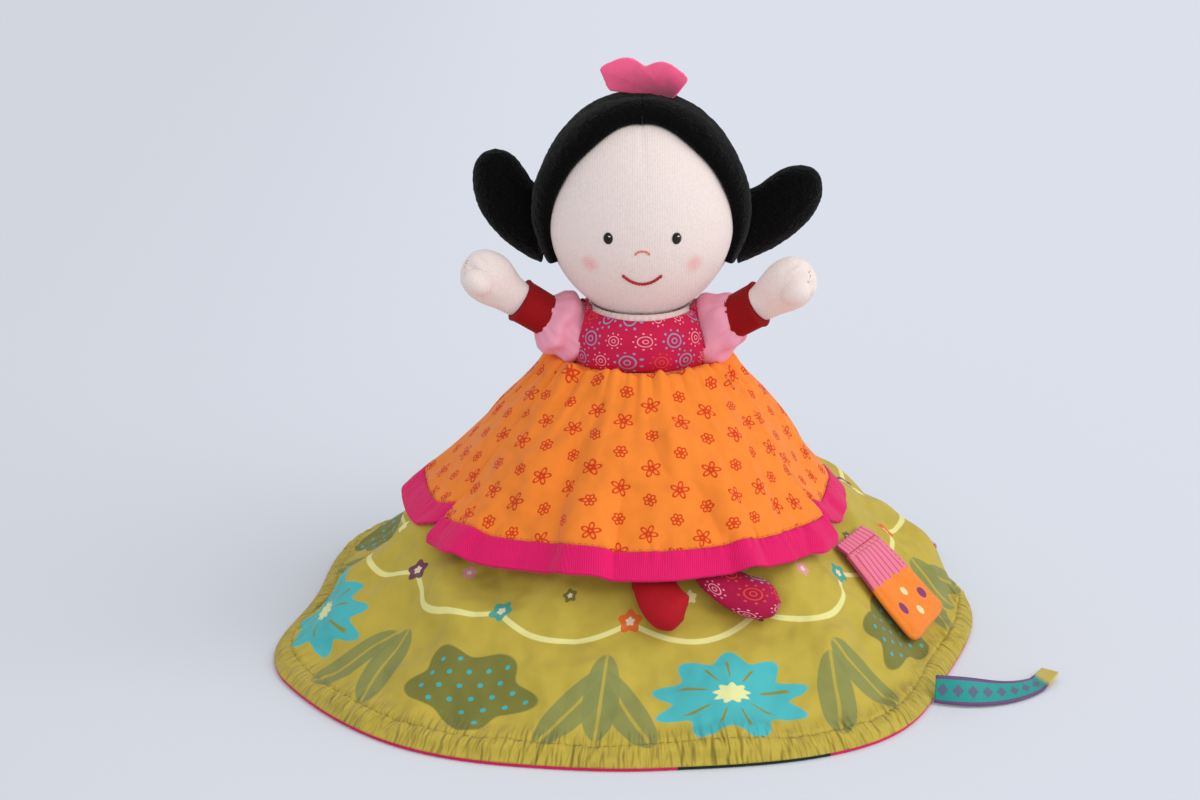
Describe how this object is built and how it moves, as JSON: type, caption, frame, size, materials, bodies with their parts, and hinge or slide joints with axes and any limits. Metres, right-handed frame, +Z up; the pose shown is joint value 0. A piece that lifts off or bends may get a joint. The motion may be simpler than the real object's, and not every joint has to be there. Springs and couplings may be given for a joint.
{
  "type": "topsy turvy doll",
  "caption": "Two stuffed cloth dolls joined at the waist, one upright and one hidden head down under layered skirts, with turning heads, hinged limbs and a skirt that lifts.",
  "frame": {"origin": "on the floor under the waist, on the flat rest of the hidden doll's hair", "axes": "+Z up, the upper doll faces -Y, its pictured left side is -X"},
  "size_m": [0.3772, 0.3463, 0.2836],
  "materials": {
    "black_cotton": "matte",
    "black_plush": "matte",
    "brown_plush": "matte",
    "dark_red": "matte",
    "green_cotton": "matte",
    "magenta": "matte",
    "maroon_print": "matte",
    "orange_cotton": "matte",
    "orange_pad": "matte",
    "pink_cotton": "matte",
    "pink_felt": "matte",
    "plum": "matte",
    "red_cotton": "matte",
    "rose_print": "matte",
    "teal_cotton": "matte",
    "teal_ribbon": "matte",
    "velour": "matte"
  },
  "bodies": {
    "torso": {"bodice": "rose_print", "sleeve_left": "pink_cotton", "sleeve_right": "pink_cotton", "waist_seam": "rose_print", "lower_bodice": "plum", "lower_sleeve_left": "teal_cotton", "lower_sleeve_right": "teal_cotton", "lower_neck": "velour", "green_skirt": "green_cotton", "lining_skirt": "magenta", "lining_dark_panel": "black_cotton", "overskirt_front": "orange_cotton", "overskirt_back": "orange_cotton", "overskirt_band_front": "magenta", "overskirt_band_back": "magenta", "flap_strip": "orange_pad"},
    "neck_swivel": {"neck": "velour"},
    "head_assembly": {"head": "velour", "hair_cap": "black_plush", "hair_front_left": "black_plush", "hair_front_right": "black_plush"},
    "hair_left": {"hair_bunch_left": "black_plush"},
    "hair_right": {"hair_bunch_right": "black_plush"},
    "crown": {"felt_crown": "pink_felt"},
    "arm_left": {"cuff_left": "dark_red", "hand_left": "velour"},
    "arm_right": {"cuff_right": "dark_red", "hand_right": "velour"},
    "lower_head_assembly": {"lower_head": "velour", "lower_hair_cap": "brown_plush", "lower_hair_front_left": "brown_plush", "lower_hair_front_right": "brown_plush"},
    "lower_arm_left": {"lower_cuff_left": "plum", "lower_hand_left": "velour"},
    "lower_arm_right": {"lower_cuff_right": "plum", "lower_hand_right": "velour"},
    "leg_left": {"leg_left": "red_cotton", "boot_left": "red_cotton"},
    "leg_right": {"leg_right": "red_cotton", "boot_right": "maroon_print"},
    "hem": {"hem_edge": "magenta"},
    "tag": {"ribbon_tag": "teal_ribbon"},
    "loop": {"ribbon_loop": "teal_ribbon"},
    "flap": {"padded_flap": "orange_pad"}
  },
  "joints": [
    {"name": "head_turn", "type": "hinge", "parent": "torso", "child": "neck_swivel", "pos_m": [0, 0, 0.157], "axis": [0, 0, 1], "range_deg": [-25, 25], "stiffness_Nm_per_rad": 0.05},
    {"name": "head_nod", "type": "hinge", "parent": "neck_swivel", "child": "head_assembly", "pos_m": [0, 0, 0.157], "axis": [1, 0, 0], "range_deg": [-8, 8], "stiffness_Nm_per_rad": 0.6},
    {"name": "hair_left_lift", "type": "hinge", "parent": "head_assembly", "child": "hair_left", "pos_m": [-0.043, 0.0105, 0.219], "axis": [0, 1, 0], "range_deg": [0, 15]},
    {"name": "hair_right_lift", "type": "hinge", "parent": "head_assembly", "child": "hair_right", "pos_m": [0.043, 0.0105, 0.219], "axis": [0, -1, 0], "range_deg": [0, 15]},
    {"name": "crown_bend", "type": "hinge", "parent": "head_assembly", "child": "crown", "pos_m": [0, 0, 0.2671], "axis": [1, 0, 0], "range_deg": [-8, 8], "stiffness_Nm_per_rad": 0.002},
    {"name": "arm_left_lower", "type": "hinge", "parent": "torso", "child": "arm_left", "pos_m": [-0.036, -0.007, 0.153], "axis": [0, -1, 0], "range_deg": [0, 45], "stiffness_Nm_per_rad": 0.04, "springref_deg": -20.05},
    {"name": "arm_right_lower", "type": "hinge", "parent": "torso", "child": "arm_right", "pos_m": [0.036, -0.007, 0.153], "axis": [0, 1, 0], "range_deg": [0, 45], "stiffness_Nm_per_rad": 0.04, "springref_deg": -20.05},
    {"name": "lower_head_turn", "type": "hinge", "parent": "torso", "child": "lower_head_assembly", "pos_m": [0, 0, 0.1089], "axis": [0, 0, 1], "range_deg": [-5, 5], "stiffness_Nm_per_rad": 0.05},
    {"name": "lower_arm_left_swing", "type": "hinge", "parent": "torso", "child": "lower_arm_left", "pos_m": [-0.0285, -0.007, 0.114], "axis": [0, 1, 0], "range_deg": [0, 6], "stiffness_Nm_per_rad": 0.04},
    {"name": "lower_arm_right_swing", "type": "hinge", "parent": "torso", "child": "lower_arm_right", "pos_m": [0.0285, -0.007, 0.114], "axis": [0, -1, 0], "range_deg": [0, 2], "stiffness_Nm_per_rad": 0.04},
    {"name": "leg_left_swing", "type": "hinge", "parent": "torso", "child": "leg_left", "pos_m": [-0.01246, -0.04525, 0.116], "axis": [-0.1567, -0.7501, 0.6425], "range_deg": [-8, 8]},
    {"name": "leg_right_swing", "type": "hinge", "parent": "torso", "child": "leg_right", "pos_m": [0.02539, -0.03938, 0.116], "axis": [0.3973, -0.6771, 0.6195], "range_deg": [-8, 8]},
    {"name": "skirt_lift", "type": "slide", "parent": "torso", "child": "hem", "axis": [0, 0, 1], "range_m": [0, 0.0938], "deforming": ["green_skirt", "lining_skirt", "lining_dark_panel", "overskirt_front", "overskirt_back", "overskirt_band_front", "overskirt_band_back", "flap_strip", "padded_flap", "leg_left", "leg_right", "boot_left", "boot_right"]},
    {"name": "tag_swing", "type": "hinge", "parent": "hem", "child": "tag", "pos_m": [0.13232, -0.10267, 0.003], "axis": [0, 0, 1], "range_deg": [-25, 20]},
    {"name": "loop_lift", "type": "hinge", "parent": "hem", "child": "loop", "pos_m": [0.1461, 0.08074, 0.003], "axis": [0.4618, -0.887, 0], "range_deg": [0, 45]},
    {"name": "flap_open", "type": "hinge", "parent": "torso", "child": "flap", "pos_m": [0.10583, -0.03561, 0.05162], "axis": [0.5141, 0.8577, 0.0052], "range_deg": [-85, 0]}
  ]
}
